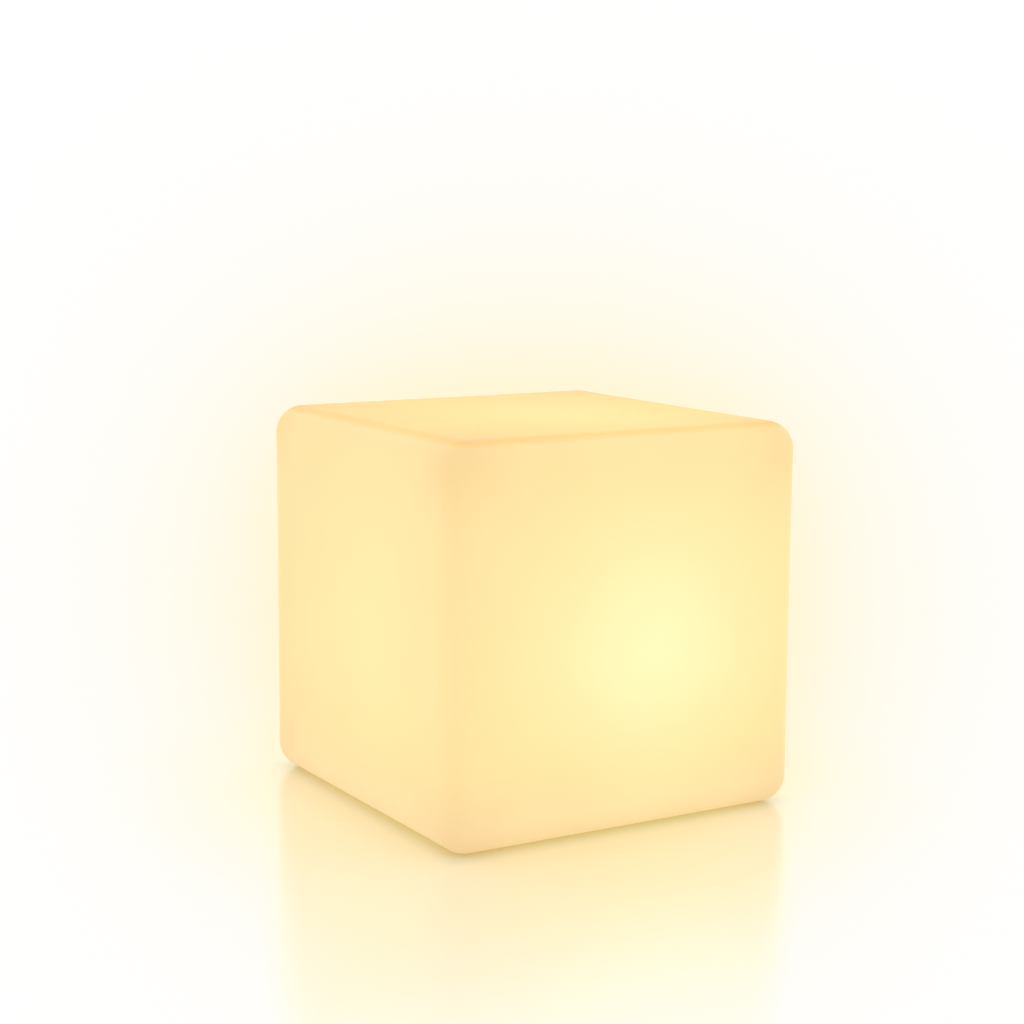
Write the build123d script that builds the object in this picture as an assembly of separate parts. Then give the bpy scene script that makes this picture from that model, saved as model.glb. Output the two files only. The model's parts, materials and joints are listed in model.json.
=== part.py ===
from build123d import *
import os
from math import cos, hypot, radians, sin

# Rechargeable LED cube light, in millimetres.
# +Z is up, the origin is the middle of the underside, and the cube stands on Z = 0.
# A hollow milky shell has a round recess in its underside. A light module is screwed into it:
# a moulded base with a tub for the cell and the control board, and a lamp under a frosted dome.

# ------------------------------------------------------------------ cube shell
cube_width = 200.0          # along X and along Y
cube_height = 195.0
edge_radius = 14.0
shell_wall = 3.0
recess_depth = 6.0          # of the round recess in the underside
recess_lip_radius = 2.0
seat_width = 13.0           # ring in the recess that the module's flange is screwed to
seat_edge_radius = 2.0
shell_boss_radius = 4.5
shell_boss_height = 7.0     # above the seat ring, inside the shell

# ------------------------------------------------------------------ cell, which sets the module's size
cell_diameter = 18.4
cell_length = 65.2
cell_offset = 13.0          # of the cell's axis from the module's axis, along Y
cell_wall_gap = 1.5         # from the cell's corners to the tub's wall
cell_floor_gap = 1.0
cell_edge_radius = 0.8

# ------------------------------------------------------------------ module base
base_thickness = 3.0
base_edge_chamfer = 0.8
base_clearance = 0.6        # round the base in the shell's recess
gasket_thickness = 1.5
gasket_inset = 0.5          # of the gasket's edges from the flange's edges
tub_wall = 2.5
tub_clearance = 0.6         # round the tub in the shell's opening
base_screw_count = 6
base_screw_radius = 1.7
base_screw_head_radius = 3.4
base_screw_head_height = 1.8
base_screw_length = 12.0
screw_clearance = 0.1       # round a screw in its hole
hole_extra_depth = 1.0      # of a blind hole past its screw
slot_width = 0.7            # of the cross in a screw's head
slot_depth = 0.9

# ------------------------------------------------------------------ cell clamp
saddle_thickness = 2.5
saddle_spacing = 40.0
saddle_margin = 3.0         # of a saddle beyond the cell, each side
saddle_drop = 2.0           # of a saddle's top below the cell's axis
clamp_thickness = 1.6
clamp_width = 12.0
clamp_gap = 0.3             # round the cell in its clamp and saddles
clamp_foot_length = 8.0
clamp_post_radius = 3.2
clamp_headroom = 2.4        # above the clamp, to the tray
tab_thickness = 0.5
tab_width = 6.0
tab_lug_length = 4.0
tab_height = 8.0

# ------------------------------------------------------------------ small screws
small_screw_radius = 1.2
small_head_radius = 2.4
small_head_height = 1.6
clamp_screw_length = 8.0
board_screw_length = 7.0
dome_screw_length = 12.0
led_screw_length = 7.0

# ------------------------------------------------------------------ control board
board_thickness = 1.6
board_wall_gap = 2.4        # from the board's rim to the tub's wall
board_cell_gap = 10.0       # from the board's straight edge to the cell
standoff_radius = 3.0
standoff_height = 12.5
notch_clearance = 0.8
controller_size = (10.0, 4.0, 1.6)
controller_wall_gap = 12.2
controller_angle = -130.0
charger_size = (5.0, 4.0, 1.6)
charger_socket_gap = 8.0    # along X, from the socket's axis
charger_edge_gap = 5.3      # from the board's straight edge
driver_size = (3.0, 1.6, 1.1)
driver_count = 3
driver_pitch = 4.0
driver_shift = -9.0         # of the first driver from the LED board's leads, along X
driver_lead_gap = 6.9       # from the LED board's leads, along Y
inductor_width = 7.0
inductor_height = 4.5
inductor_corner_radius = 1.5
inductor_wall_gap = 7.6
inductor_angle = -147.5
capacitor_radius = 3.15
capacitor_height = 6.5
capacitor_x = 4.0
capacitor_edge_gap = 4.8    # from the board's straight edge

# ------------------------------------------------------------------ power button and its switch
button_wall_gap = 15.4      # from the button's axis to the tub's wall
button_angle = -135.0
button_radius = 7.0
button_clearance = 0.2
button_travel = 0.8
button_edge_radius = 0.5
button_flange_radius = 8.4
button_flange_thickness = 1.2
button_stem_radius = 3.0
button_dish_margin = 2.6    # of the finger dish round the button
button_dish_depth = 0.8
guide_wall = 1.6
retainer_thickness = 1.6
retainer_spigot = 1.2       # depth of the retainer's ring inside the guide tube
retainer_gap = 0.4          # from the retainer to the top of the button's stem
seal_ring_radius = 0.75     # section of the O-ring round the stem
spring_wire_radius = 0.3
spring_coil_radius = 5.4
spring_turns = 3.5
switch_width = 6.0
switch_height = 3.5
plunger_radius = 1.7
plunger_reach = 1.0         # below the switch's body
plunger_depth = 1.2         # inside the switch's body

# ------------------------------------------------------------------ charging socket and its cover
socket_wall_gap = 11.2
socket_angle = -42.3
socket_radius = 4.0
socket_bore_radius = 2.85
socket_bore_depth = 9.0
socket_length = 11.1        # from the mouth to the back face
socket_flange_radius = 5.2
socket_flange_thickness = 1.2
socket_pin_radius = 1.0
socket_pin_inset = 0.7      # of the pin's tip from the mouth
socket_lug_length = 1.5
socket_lug_offset = 3.0
nut_across_flats = 11.0
nut_thickness = 2.2
washer_radius = 6.0
washer_thickness = 0.8
port_pad_thickness = 3.0    # of the base behind the socket's flange
port_pad_margin = 2.0
cover_thickness = 1.3
cover_floor_gap = 0.1
cover_radius = 6.8
cover_clearance = 0.4       # round the cover in its recess
strap_width = 8.0
hinge_distance = 13.0       # from the socket's axis to the cover's hinge line
hinge_gap = 0.08            # from the cover's round heel to the hollow end of the tether
tether_end_gap = 1.2        # from the hinge line to the tether's flat end
tether_length = 4.5         # from the hinge line to the tether's pin
tether_pin_radius = 1.6
tether_head_radius = 2.6
tether_head_height = 1.0
lift_tab_width = 5.0
lift_tab_length = 2.0
plug_outer_radius = 2.35    # hollow plug on the cover, in the socket's mouth
plug_inner_radius = 1.4
plug_height = 1.7

# ------------------------------------------------------------------ charging light
pipe_radius = 1.5
pipe_collar_radius = 2.2
pipe_collar_height = 1.0
pipe_gap = 0.3              # from the light pipe to its LED
pipe_guide_gap = 1.0        # from the pipe's collar to the button's guide tube, along X
pipe_edge_gap = 3.5         # from the board's straight edge
indicator_size = (2.0, 1.25, 0.8)

# ------------------------------------------------------------------ lamp
tray_thickness = 2.0
tray_clearance = 0.3
tray_boss_height = 4.0
dome_boss_radius = 3.4
dome_boss_inset = 2.9       # of the dome's screw circle from the tub's wall
seal_thickness = 1.0
seal_inset = 0.2
dome_flange_thickness = 2.5
dome_wall = 2.0
dome_skirt_height = 6.5
dome_rise = 12.0
dome_head_gap = 0.5         # from the dome's skirt to its screw heads
spreader_thickness = 2.0
spreader_clearance = 0.5
led_board_inset = 1.0
led_board_thickness = 1.6
led_size = (5.0, 5.0, 1.6)
led_window_radius = 1.9
led_window_depth = 0.3
outer_led_count = 8
outer_led_inset = 11.6      # of the outer LEDs' circle from the LED board's rim
inner_led_count = 4
inner_led_circle = 10.0
led_screw_inset = 4.5       # of the screw circle from the spreader's rim
receiver_size = (5.6, 4.0, 6.6)
receiver_lens_radius = 1.7

# ------------------------------------------------------------------ leads and connectors
wire_radius = 0.6
wire_bend = 2.0
plug_size = (5.6, 7.5, 3.6)
header_wall = 1.0
header_depth = 7.6
battery_header_x = -16.0
battery_wire_pitch = 2.0
led_wire_count = 4
led_wire_pitch = 2.5
led_wire_wall_gap = 12.4
led_wire_angle = -84.0
led_header_height = 5.0
led_header_depth = 3.0
led_pad_distance = 4.6      # from a lead's hole to its pad on the LED board
led_lead_loop = 3.0         # height of a lead's loop above the LED board
socket_lead_run = 10.0      # from the socket to its leads' pads on the control board
socket_pad_pitch = 3.0
lead_loop_height = 3.6      # of the socket's leads above the control board
cell_lead_height = 1.2      # of the cell's leads above the cell
short_lead_turn = 4.0       # of the cell's short lead, towards the cell's near end
long_lead_turn = 7.0        # of the cell's long lead, towards the cell's far end
long_lead_dip = 1.5         # of the long lead where it turns, below its run over the cell
long_lead_end_run = 11.0    # from the long lead's last turn to its lug

cut_past = 1.0              # how far a cutter runs past the face that it opens

# ------------------------------------------------------------------ levels along Z
seat_z = recess_depth
base_top_z = seat_z - gasket_thickness
base_bottom_z = base_top_z - base_thickness
cell_z = base_top_z + cell_floor_gap + cell_diameter / 2
clamp_top_z = cell_z + cell_diameter / 2 + clamp_gap + clamp_thickness
tray_bottom_z = clamp_top_z + clamp_headroom
tray_top_z = tray_bottom_z + tray_thickness
seal_top_z = tray_top_z + seal_thickness
dome_flange_top_z = seal_top_z + dome_flange_thickness
spreader_top_z = tray_top_z + spreader_thickness
led_board_top_z = spreader_top_z + led_board_thickness
board_bottom_z = base_top_z + standoff_height
board_top_z = board_bottom_z + board_thickness
switch_bottom_z = board_bottom_z - switch_height
stem_top_z = switch_bottom_z - plunger_reach
retainer_top_z = stem_top_z - retainer_gap
guide_top_z = retainer_top_z - retainer_thickness
button_flange_top_z = base_top_z + button_flange_thickness
cover_floor_z = base_bottom_z + cover_thickness + cover_floor_gap
socket_floor_z = cover_floor_z + socket_flange_thickness
port_pad_top_z = socket_floor_z + port_pad_thickness
washer_top_z = port_pad_top_z + washer_thickness
socket_back_z = cover_floor_z + socket_length
lug_top_z = socket_back_z + socket_lug_length
clamp_foot_top_z = cell_z + clamp_thickness
cell_lead_z = cell_z + cell_diameter / 2 + cell_lead_height

# ------------------------------------------------------------------ radii from the module's axis
tub_inner_radius = hypot(cell_length / 2, cell_offset + cell_diameter / 2) + cell_wall_gap
tub_radius = tub_inner_radius + tub_wall
opening_radius = tub_radius + tub_clearance
recess_radius = opening_radius + seat_width
base_radius = recess_radius - base_clearance
base_screw_circle = opening_radius + seat_width / 2
board_radius = tub_inner_radius - board_wall_gap
board_edge_y = cell_offset - cell_diameter / 2 - board_cell_gap
tray_radius = tub_inner_radius - tray_clearance
dome_screw_circle = tub_inner_radius - dome_boss_inset
dome_skirt_radius = dome_screw_circle - small_head_radius - dome_head_gap
dome_inner_radius = dome_skirt_radius - dome_wall
spreader_radius = dome_inner_radius - spreader_clearance
led_board_radius = spreader_radius - led_board_inset
led_screw_circle = spreader_radius - led_screw_inset
outer_led_circle = led_board_radius - outer_led_inset
guide_inner_radius = button_flange_radius + button_clearance
guide_radius = guide_inner_radius + guide_wall


# ------------------------------------------------------------------ places
def polar(radius, angle):
    """The point at this radius and angle, in degrees, round the module's axis."""
    return radius * cos(radians(angle)), radius * sin(radians(angle))


def in_tub(wall_gap, angle):
    """The point this far inside the tub's wall."""
    return polar(tub_inner_radius - wall_gap, angle)


def round_places(radius, count, first_angle):
    """Evenly spaced points on a circle round the module's axis."""
    return [polar(radius, first_angle + 360.0 * i / count) for i in range(count)]


base_screw_places = round_places(base_screw_circle, base_screw_count, 30.0)
dome_screw_places = round_places(dome_screw_circle, 4, 0.0)
led_screw_places = round_places(led_screw_circle, 3, 90.0)
standoff_places = [in_tub(8.0, -160.5), in_tub(8.0, -19.5), in_tub(8.9, -110.0)]
clamp_hole_offset = cell_diameter / 2 + clamp_gap + clamp_thickness + clamp_foot_length / 2
clamp_screw_places = [(0.0, cell_offset - clamp_hole_offset), (0.0, cell_offset + clamp_hole_offset)]
button_x, button_y = in_tub(button_wall_gap, button_angle)
socket_x, socket_y = in_tub(socket_wall_gap, socket_angle)
led_wire_x, led_wire_y = in_tub(led_wire_wall_gap, led_wire_angle)
hinge_x = socket_x - hinge_distance
tether_x = hinge_x - tether_length
pipe_x = button_x + guide_radius + pipe_guide_gap + pipe_collar_radius
pipe_y = board_edge_y - pipe_edge_gap
socket_hole_radius = washer_radius + notch_clearance
controller_place = in_tub(controller_wall_gap, controller_angle)
charger_place = (socket_x - charger_socket_gap, board_edge_y - charger_edge_gap)
driver_places = [(led_wire_x + driver_shift + i * driver_pitch, led_wire_y + driver_lead_gap)
                 for i in range(driver_count)]
inductor_place = in_tub(inductor_wall_gap, inductor_angle)
capacitor_place = (capacitor_x, board_edge_y - capacitor_edge_gap)


# ------------------------------------------------------------------ shapes used by many pieces
def disc(radius, low, high, place=(0.0, 0.0)):
    """An upright cylinder between two levels."""
    return Pos(place[0], place[1], (low + high) / 2) * Cylinder(radius, high - low)


def ring(outer, inner, low, high, place=(0.0, 0.0)):
    """An upright tube between two levels."""
    return disc(outer, low, high, place) - disc(inner, low - cut_past, high + cut_past, place)


def block(low, high):
    """A box between two opposite corners."""
    centre = [(a + b) / 2 for a, b in zip(low, high)]
    size = [b - a for a, b in zip(low, high)]
    return Pos(*centre) * Box(*size)


def block_at(place, size, low):
    """A box of this size that stands on a level, centred on a place."""
    return Pos(place[0], place[1], low + size[2] / 2) * Box(*size)


def cut_holes(body, places, radius, low, high):
    """The body with the same round hole at each place."""
    for place in places:
        body -= disc(radius, low, high, place)
    return body


def outline_plate(sketch, low, high):
    """A flat outline, thickened between two levels."""
    return Pos(0, 0, low) * extrude(sketch, high - low)


def cross_slot(place, low, high, reach):
    """The cross that a screwdriver fits."""
    along_x = block_at(place, (2 * reach, slot_width, high - low), low)
    along_y = block_at(place, (slot_width, 2 * reach, high - low), low)
    return along_x + along_y


def pan_screw(place, head_low, length):
    """A screw that points down, with its head standing on a level."""
    head_high = head_low + small_head_height
    head = disc(small_head_radius, head_low, head_high, place)
    rim = head.edges().filter_by(GeomType.CIRCLE).group_by(Axis.Z)[-1]
    head = fillet(rim, small_head_height / 3)
    shank = disc(small_screw_radius, head_low - length, head_low, place)
    slot = cross_slot(place, head_high - slot_depth, head_high + cut_past, small_head_radius / 2)
    return head + shank - slot


def pilot_hole(place, screw_head_low, length):
    """The blind hole that a pan screw bites into."""
    radius = small_screw_radius + screw_clearance
    return disc(radius, screw_head_low - length - hole_extra_depth, screw_head_low + cut_past, place)


def wire(points):
    """A round lead along straight runs joined by arcs."""
    path = FilletPolyline(*points, radius=wire_bend)
    section = Plane(path @ 0, z_dir=path % 0) * Circle(wire_radius)
    return sweep(section, path=path)


# ------------------------------------------------------------------ shell
def rounded_box(width, height, low, radius):
    """A box that stands on a level, with every edge rounded."""
    box = block((-width / 2, -width / 2, low), (width / 2, width / 2, low + height))
    return fillet(box.edges(), radius)


def make_cube_shell():
    outer = rounded_box(cube_width, cube_height, 0.0, edge_radius)
    inner_size = (cube_width - 2 * shell_wall, cube_height - 2 * shell_wall)
    cavity = rounded_box(*inner_size, shell_wall, edge_radius - shell_wall)
    seat = disc(recess_radius + shell_wall, shell_wall / 2, seat_z + shell_wall)
    seat_rim = seat.edges().filter_by(GeomType.CIRCLE).group_by(Axis.Z)[-1]
    seat = fillet(seat_rim, seat_edge_radius)
    recess = disc(recess_radius, -cut_past, seat_z)
    opening = disc(opening_radius, 0.0, seat_z + shell_wall + cut_past)
    shell = outer - cavity + seat - recess - opening
    boss_top = seat_z + shell_wall + shell_boss_height
    for place in base_screw_places:
        shell += disc(shell_boss_radius, seat_z + shell_wall / 2, boss_top, place)
    hole_top = base_bottom_z + base_screw_length + hole_extra_depth
    hole_radius = base_screw_radius + screw_clearance
    shell = cut_holes(shell, base_screw_places, hole_radius, seat_z - cut_past, hole_top)
    mouth = [e for e in shell.edges().filter_by(GeomType.CIRCLE)
             if abs(e.radius - recess_radius) < 0.01 and abs(e.center().Z) < 0.01]
    return fillet(mouth, recess_lip_radius)


# ------------------------------------------------------------------ module base
def cover_outline(margin):
    """The outline of the port cover with its strap and tether, grown by a margin."""
    cover = Pos(socket_x, socket_y) * Circle(cover_radius + margin)
    strap_middle = (tether_x + socket_x) / 2
    strap = Pos(strap_middle, socket_y) * Rectangle(socket_x - tether_x, strap_width + 2 * margin)
    tether_end = Pos(tether_x, socket_y) * Circle(strap_width / 2 + margin)
    tab_end = socket_x + cover_radius + lift_tab_length + margin
    tab_outline = Rectangle(tab_end - socket_x, lift_tab_width + 2 * margin)
    tab = Pos((socket_x + tab_end) / 2, socket_y) * tab_outline
    return cover + strap + tether_end + tab


def make_base_plate():
    plate = disc(base_radius, base_bottom_z, base_top_z)
    lower_rim = plate.edges().filter_by(GeomType.CIRCLE).group_by(Axis.Z)[0]
    plate = chamfer(lower_rim, base_edge_chamfer)
    plate += ring(tub_radius, tub_inner_radius, base_top_z, tray_top_z)
    for place in dome_screw_places:
        plate += disc(dome_boss_radius, base_top_z, tray_bottom_z, place)
    for place in standoff_places:
        plate += disc(standoff_radius, base_top_z, board_bottom_z, place)
    for place in clamp_screw_places:
        plate += disc(clamp_post_radius, base_top_z, cell_z, place)
    return plate


def make_saddle(x):
    """A rib across the cell, hollowed to its round."""
    half = cell_diameter / 2 + saddle_margin
    low = (x - saddle_thickness / 2, cell_offset - half, base_top_z)
    high = (x + saddle_thickness / 2, cell_offset + half, cell_z - saddle_drop)
    hollow = Cylinder(cell_diameter / 2 + clamp_gap, cell_length)
    return block(low, high) - Pos(x, cell_offset, cell_z) * Rot(0, 90, 0) * hollow


def cut_port(body):
    """The base with the socket's pad, pocket and hole and the cover's recess."""
    pad = outline_plate(cover_outline(cover_clearance + port_pad_margin), base_top_z, port_pad_top_z)
    body += pad
    recess = outline_plate(cover_outline(cover_clearance), base_bottom_z - cut_past, cover_floor_z)
    place = (socket_x, socket_y)
    pocket = disc(socket_flange_radius + screw_clearance, base_bottom_z, socket_floor_z, place)
    hole = disc(socket_radius + screw_clearance, base_bottom_z, port_pad_top_z + cut_past, place)
    pin_hole = disc(tether_pin_radius + screw_clearance, base_bottom_z, port_pad_top_z + cut_past,
                    (tether_x, socket_y))
    return body - recess - pocket - hole - pin_hole


def cut_button(body):
    """The base with the button's dish, hole and guide tube."""
    place = (button_x, button_y)
    body += disc(guide_radius, base_top_z, guide_top_z, place)
    body -= disc(guide_inner_radius, base_top_z, guide_top_z + cut_past, place)
    dish_radius = button_radius + button_dish_margin
    body -= disc(dish_radius, base_bottom_z - cut_past, base_bottom_z + button_dish_depth, place)
    return body - disc(button_radius + button_clearance, base_bottom_z, base_top_z + cut_past, place)


def make_module_base():
    body = make_base_plate()
    for side in (-1, 1):
        body += make_saddle(side * saddle_spacing / 2)
    body = cut_port(body)
    body = cut_button(body)
    pipe_hole = pipe_radius + screw_clearance
    body -= disc(pipe_hole, base_bottom_z - cut_past, base_top_z + cut_past, (pipe_x, pipe_y))
    for place in base_screw_places:
        body -= countersink(place, screw_clearance)
    for place in dome_screw_places:
        body -= pilot_hole(place, dome_flange_top_z, dome_screw_length)
    for place in standoff_places:
        body -= pilot_hole(place, board_top_z, board_screw_length)
    for place in clamp_screw_places:
        body -= pilot_hole(place, clamp_foot_top_z, clamp_screw_length)
    return body


def countersink(place, grow):
    """A countersunk screw's shape, pointing up from the underside, grown by a clearance."""
    head_top = base_bottom_z + base_screw_head_height
    cone = Cone(base_screw_head_radius + grow, base_screw_radius + grow, base_screw_head_height)
    head = Pos(place[0], place[1], base_bottom_z + base_screw_head_height / 2) * cone
    shank_top = base_bottom_z + base_screw_length
    return head + disc(base_screw_radius + grow, head_top, shank_top, place)


def make_base_screws():
    screws = []
    for place in base_screw_places:
        reach = base_screw_head_radius / 2
        slot = cross_slot(place, base_bottom_z - cut_past, base_bottom_z + slot_depth, reach)
        screws.append(countersink(place, 0.0) - slot)
    return screws


def make_base_gasket():
    gasket = ring(base_radius - gasket_inset, opening_radius + gasket_inset, base_top_z, seat_z)
    hole_radius = base_screw_radius + screw_clearance
    return cut_holes(gasket, base_screw_places, hole_radius, base_top_z - cut_past, seat_z + cut_past)


# ------------------------------------------------------------------ power button and its switch
def make_power_button():
    place = (button_x, button_y)
    cap = disc(button_radius, base_bottom_z, base_top_z, place)
    cap = fillet(cap.edges().filter_by(GeomType.CIRCLE).group_by(Axis.Z)[0], button_edge_radius)
    flange = disc(button_flange_radius, base_top_z, button_flange_top_z, place)
    stem = disc(button_stem_radius, button_flange_top_z, stem_top_z, place)
    return cap + flange + stem


def make_button_retainer():
    """The disc that closes the guide tube, with a spigot inside the tube and a seat for the O-ring."""
    place = (button_x, button_y)
    spigot_radius = guide_inner_radius - screw_clearance
    stem_hole = button_stem_radius + screw_clearance
    lid = disc(guide_radius, guide_top_z, retainer_top_z, place)
    spigot_low = guide_top_z - retainer_spigot
    spigot = ring(spigot_radius, spigot_radius - guide_wall, spigot_low, guide_top_z, place)
    seat_low = retainer_top_z - 2 * seal_ring_radius + screw_clearance
    seat_outer = stem_hole + 2 * seal_ring_radius + screw_clearance
    seal_seat = disc(seat_outer, seat_low, retainer_top_z + cut_past, place)
    bore = disc(stem_hole, guide_top_z - cut_past, retainer_top_z + cut_past, place)
    return lid + spigot - seal_seat - bore


def make_button_seal():
    coil_radius = button_stem_radius + screw_clearance + seal_ring_radius
    seal_z = retainer_top_z - seal_ring_radius + screw_clearance
    return Pos(button_x, button_y, seal_z) * Torus(coil_radius, seal_ring_radius)


def make_button_spring():
    height = guide_top_z - button_flange_top_z - 2 * spring_wire_radius
    helix = Helix(pitch=height / spring_turns, height=height, radius=spring_coil_radius)
    section = Plane(helix @ 0, z_dir=helix % 0) * RegularPolygon(spring_wire_radius, 6)
    coil = sweep(section, path=helix, is_frenet=True)
    return Pos(button_x, button_y, button_flange_top_z + spring_wire_radius) * coil


def make_tact_switch():
    body = block_at((button_x, button_y), (switch_width, switch_width, switch_height), switch_bottom_z)
    well_top = switch_bottom_z + plunger_depth + button_travel + screw_clearance
    well = disc(plunger_radius + screw_clearance, switch_bottom_z - cut_past, well_top, (button_x, button_y))
    return body - well


def make_switch_plunger():
    return disc(plunger_radius, stem_top_z, switch_bottom_z + plunger_depth, (button_x, button_y))


# ------------------------------------------------------------------ charging socket and its cover
def make_dc_socket():
    place = (socket_x, socket_y)
    flange = disc(socket_flange_radius, cover_floor_z, socket_floor_z, place)
    barrel = disc(socket_radius, socket_floor_z, socket_back_z, place)
    bore = disc(socket_bore_radius, cover_floor_z - cut_past, cover_floor_z + socket_bore_depth, place)
    pin_hole = disc(socket_pin_radius + screw_clearance, cover_floor_z, socket_back_z + cut_past, place)
    return flange + barrel - bore - pin_hole


def make_socket_contacts():
    """The centre pin, whose back end is its lug, and the lug of the outer contact."""
    pin = disc(socket_pin_radius, cover_floor_z + socket_pin_inset, lug_top_z, (socket_x, socket_y))
    lug_size = (tab_thickness, 2 * socket_pin_radius, socket_lug_length)
    return [pin, block_at((socket_x + socket_lug_offset, socket_y), lug_size, socket_back_z)]


def make_socket_washer():
    inner = socket_radius + screw_clearance
    return ring(washer_radius, inner, port_pad_top_z, washer_top_z, (socket_x, socket_y))


def make_socket_nut():
    hexagon = RegularPolygon(nut_across_flats / 2, 6, major_radius=False)
    hexagon -= Circle(socket_radius + screw_clearance)
    return outline_plate(Pos(socket_x, socket_y) * hexagon, washer_top_z, washer_top_z + nut_thickness)


def make_socket_leads():
    pad_x = socket_x - socket_lead_run
    leads = []
    for i, start_x in enumerate((socket_x, socket_x + socket_lug_offset)):
        pad_y = socket_y + i * socket_pad_pitch
        loop_z = board_top_z + lead_loop_height * (1 + i) / 2 + wire_bend
        leads.append(wire([(start_x, socket_y, lug_top_z), (start_x, socket_y, loop_z),
                           (pad_x, pad_y, loop_z), (pad_x, pad_y, board_top_z)]))
    return leads


def half_space(low_x, high_x):
    """A tall block over the port between two X positions, to keep one part of the cover's outline."""
    reach = cube_width
    return block((low_x, -reach, 0.0), (high_x, reach, base_top_z))


def hinge_round(radius, length):
    """A cylinder along the cover's hinge line."""
    return Pos(hinge_x, socket_y, base_bottom_z) * Rot(90, 0, 0) * Cylinder(radius, length)


def make_port_cover():
    """The leaf with a hollow plug, and a round heel on the hinge line that turns in the tether's end."""
    top_z = base_bottom_z + cover_thickness
    leaf = outline_plate(cover_outline(0.0), base_bottom_z, top_z) & half_space(hinge_x, cube_width)
    heel_corner = (hinge_x, socket_y + strap_width / 2, top_z)
    heel = block((hinge_x - cover_thickness, socket_y - strap_width / 2, base_bottom_z), heel_corner)
    heel &= hinge_round(cover_thickness, strap_width)
    plug = ring(plug_outer_radius, plug_inner_radius, top_z, top_z + plug_height, (socket_x, socket_y))
    return leaf + heel + plug


def make_cover_tether():
    strip = outline_plate(cover_outline(0.0), base_bottom_z, cover_floor_z)
    strip = strip & half_space(-cube_width, hinge_x - tether_end_gap)
    strip -= hinge_round(cover_thickness + hinge_gap, cube_width)
    place = (tether_x, socket_y)
    pin = disc(tether_pin_radius, cover_floor_z, port_pad_top_z, place)
    head = disc(tether_head_radius, port_pad_top_z, port_pad_top_z + tether_head_height, place)
    return strip + pin + head


# ------------------------------------------------------------------ charging light
def make_light_pipe():
    place = (pipe_x, pipe_y)
    rod = disc(pipe_radius, base_bottom_z, board_bottom_z - indicator_size[2] - pipe_gap, place)
    return rod + disc(pipe_collar_radius, base_top_z, base_top_z + pipe_collar_height, place)


def make_indicator_led():
    return block_at((pipe_x, pipe_y), indicator_size, board_bottom_z - indicator_size[2])


# ------------------------------------------------------------------ control board
def make_control_board():
    board = disc(board_radius, board_bottom_z, board_top_z)
    board = board & block((-cube_width, -cube_width, 0.0), (cube_width, board_edge_y, cube_height))
    low = board_bottom_z - cut_past
    high = board_top_z + cut_past
    hole_radius = small_screw_radius + screw_clearance
    board = cut_holes(board, standoff_places, hole_radius, low, high)
    board = cut_holes(board, dome_screw_places, dome_boss_radius + notch_clearance, low, high)
    return board - disc(socket_hole_radius, low, high, (socket_x, socket_y))


def make_board_chips():
    """The controller, the charger chip and three driver transistors, on the board's top."""
    controller = block_at(controller_place, controller_size, board_top_z)
    charger = block_at(charger_place, charger_size, board_top_z)
    drivers = [block_at(place, driver_size, board_top_z) for place in driver_places]
    return [controller, charger] + drivers


def make_board_inductor():
    body = block_at(inductor_place, (inductor_width, inductor_width, inductor_height), board_top_z)
    return fillet(body.edges().filter_by(Axis.Z), inductor_corner_radius)


def make_board_capacitor():
    return disc(capacitor_radius, board_top_z, board_top_z + capacitor_height, capacitor_place)


def header_inside():
    """The corners of the space in the cell's header that its plug goes into."""
    half = plug_size[0] / 2 + screw_clearance
    back_y = board_edge_y - header_depth + header_wall
    low_z = board_top_z + header_wall
    low = (battery_header_x - half, back_y, low_z)
    high = (battery_header_x + half, board_edge_y, low_z + plug_size[2] + 2 * screw_clearance)
    return low, high


def make_battery_header():
    low, high = header_inside()
    outer_low = (low[0] - header_wall, low[1] - header_wall, board_top_z)
    outer_high = (high[0] + header_wall, board_edge_y, high[2] + header_wall)
    return block(outer_low, outer_high) - block(low, (high[0], high[1] + cut_past, high[2]))


def make_battery_plug():
    low, high = header_inside()
    plug_low = (low[0] + screw_clearance, low[1], low[2] + screw_clearance)
    plug_high = (high[0] - screw_clearance, low[1] + plug_size[1], high[2] - screw_clearance)
    return block(plug_low, plug_high)


def make_battery_leads():
    """Two leads from the plug, over the cell, to the lugs at the cell's ends."""
    low, high = header_inside()
    start_y = low[1] + plug_size[1]
    start_z = (low[2] + high[2]) / 2
    turn_y = start_y + 3 * wire_bend
    lug_x = cell_length / 2 + tab_thickness + tab_lug_length / 2
    lug_z = cell_z + tab_height / 2
    short_x = battery_header_x - battery_wire_pitch / 2
    long_x = battery_header_x + battery_wire_pitch / 2
    short_lead = [(short_x, start_y, start_z), (short_x, turn_y, start_z),
                  (short_x - short_lead_turn, turn_y + short_lead_turn, cell_lead_z),
                  (-lug_x, cell_offset, cell_lead_z), (-lug_x, cell_offset, lug_z)]
    long_lead = [(long_x, start_y, start_z), (long_x, turn_y, start_z),
                 (long_x + long_lead_turn, turn_y, cell_lead_z - long_lead_dip),
                 (lug_x - long_lead_end_run, turn_y, cell_lead_z),
                 (lug_x, cell_offset, cell_lead_z), (lug_x, cell_offset, lug_z)]
    return [wire(short_lead), wire(long_lead)]


# ------------------------------------------------------------------ cell
def make_battery_cell():
    can = Pos(0, cell_offset, cell_z) * Rot(0, 90, 0) * Cylinder(cell_diameter / 2, cell_length)
    return fillet(can.edges().filter_by(GeomType.CIRCLE), cell_edge_radius)


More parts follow.
